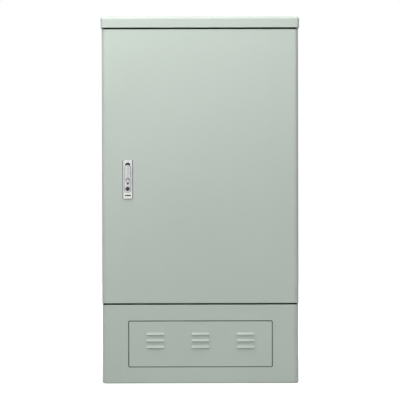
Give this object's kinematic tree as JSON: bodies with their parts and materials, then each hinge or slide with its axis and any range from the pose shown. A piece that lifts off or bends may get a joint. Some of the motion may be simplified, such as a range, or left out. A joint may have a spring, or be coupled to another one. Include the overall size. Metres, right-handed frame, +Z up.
{
  "type": "roadside utility cabinet",
  "caption": "Tall sheet-metal street cabinet on a louvred plinth, with a shallow roof cap, a full-height hinged door, a swing-handle rod lock and a cable rack inside.",
  "frame": {"origin": "ground level at the centre of the anchor-hole pattern", "axes": "+X to the right as seen from the front, +Y towards the back, +Z up"},
  "size_m": [0.758, 0.342, 1.4],
  "materials": {
    "body_paint": "fine textured powder coat",
    "zinc_steel": "zinc plated",
    "lock_chrome": "satin chrome",
    "black_rubber": "matt",
    "black_plastic": "matt",
    "panel_grey": "satin",
    "adapter_green": "satin",
    "copper": "bare",
    "insulator_red": "gloss"
  },
  "bodies": {
    "cabinet": {"plinth_shell": "body_paint", "plinth_panel": "body_paint", "panel_wing_nuts": "zinc_steel", "carcass_wrap": "body_paint", "top_panel": "body_paint", "floor_panel": "body_paint", "roof_cap": "body_paint", "roof_bolts": "zinc_steel", "plinth_bolts": "zinc_steel", "hinge_bracket_1": "zinc_steel", "hinge_bracket_2": "zinc_steel", "hinge_bracket_3": "zinc_steel", "hinge_pin_1": "zinc_steel", "hinge_pin_2": "zinc_steel", "hinge_pin_3": "zinc_steel", "upper_keeper": "zinc_steel", "lower_keeper": "zinc_steel", "left_upright": "zinc_steel", "right_upright": "zinc_steel", "patch_panel_1": "panel_grey", "patch_panel_2": "panel_grey", "patch_panel_3": "panel_grey", "patch_panel_4": "panel_grey", "adapters_1": "adapter_green", "adapters_2": "adapter_green", "adapters_3": "adapter_green", "adapters_4": "adapter_green", "spool_plate": "zinc_steel", "slack_spool_1": "black_plastic", "slack_spool_2": "black_plastic", "slack_spool_3": "black_plastic", "slack_spool_4": "black_plastic", "cable_clamp_bar": "zinc_steel", "cable_clamps": "black_plastic", "earth_bar": "copper", "earth_standoffs": "insulator_red", "floor_grommets": "black_rubber"},
    "door": {"door_panel": "body_paint", "door_gasket": "black_rubber", "door_stiffener": "body_paint", "document_pocket": "black_plastic", "hinge_leaf_1": "zinc_steel", "hinge_leaf_2": "zinc_steel", "hinge_leaf_3": "zinc_steel", "lock_housing": "lock_chrome", "lock_frame": "zinc_steel", "upper_rod_guide": "body_paint", "lower_rod_guide": "body_paint"},
    "spindle": {"lock_spindle": "lock_chrome", "lock_cam": "zinc_steel", "cam_screw": "zinc_steel"},
    "handle": {"swing_handle": "lock_chrome", "handle_pin": "lock_chrome", "lock_cylinder": "black_plastic"},
    "key": {"key_plug": "black_plastic"},
    "button": {"release_button": "lock_chrome"},
    "upper_rod_bar": {"upper_rod": "zinc_steel"},
    "lower_rod_bar": {"lower_rod": "zinc_steel"}
  },
  "joints": [
    {"name": "door_swing", "type": "hinge", "parent": "cabinet", "child": "door", "pos_m": [0.364, -0.146, 0.829], "axis": [0, 0, 1], "range_deg": [0, 110]},
    {"name": "handle_turn", "type": "hinge", "parent": "door", "child": "spindle", "pos_m": [-0.276, -0.168, 0.822], "axis": [0, -1, 0], "range_deg": [0, 90]},
    {"name": "handle_lift", "type": "hinge", "parent": "spindle", "child": "handle", "pos_m": [-0.276, -0.168, 0.822], "axis": [-1, 0, 0], "range_deg": [0, 40]},
    {"name": "key_turn", "type": "hinge", "parent": "handle", "child": "key", "pos_m": [-0.276, -0.176, 0.743], "axis": [0, -1, 0], "range_deg": [0, 90]},
    {"name": "button_press", "type": "slide", "parent": "handle", "child": "button", "axis": [0, 1, 0], "range_m": [0, 0.0025], "stiffness_N_per_m": 600, "springref_m": -0.002},
    {"name": "upper_rod_slide", "type": "slide", "parent": "door", "child": "upper_rod_bar", "axis": [0, 0, 1], "range_m": [0, 0.018]},
    {"name": "lower_rod_slide", "type": "slide", "parent": "door", "child": "lower_rod_bar", "axis": [0, 0, -1], "range_m": [0, 0.018]}
  ],
  "couplings": [
    {"joint": "upper_rod_slide", "follows": "handle_turn", "m_per_rad": 0.011434},
    {"joint": "lower_rod_slide", "follows": "handle_turn", "m_per_rad": 0.011434}
  ]
}
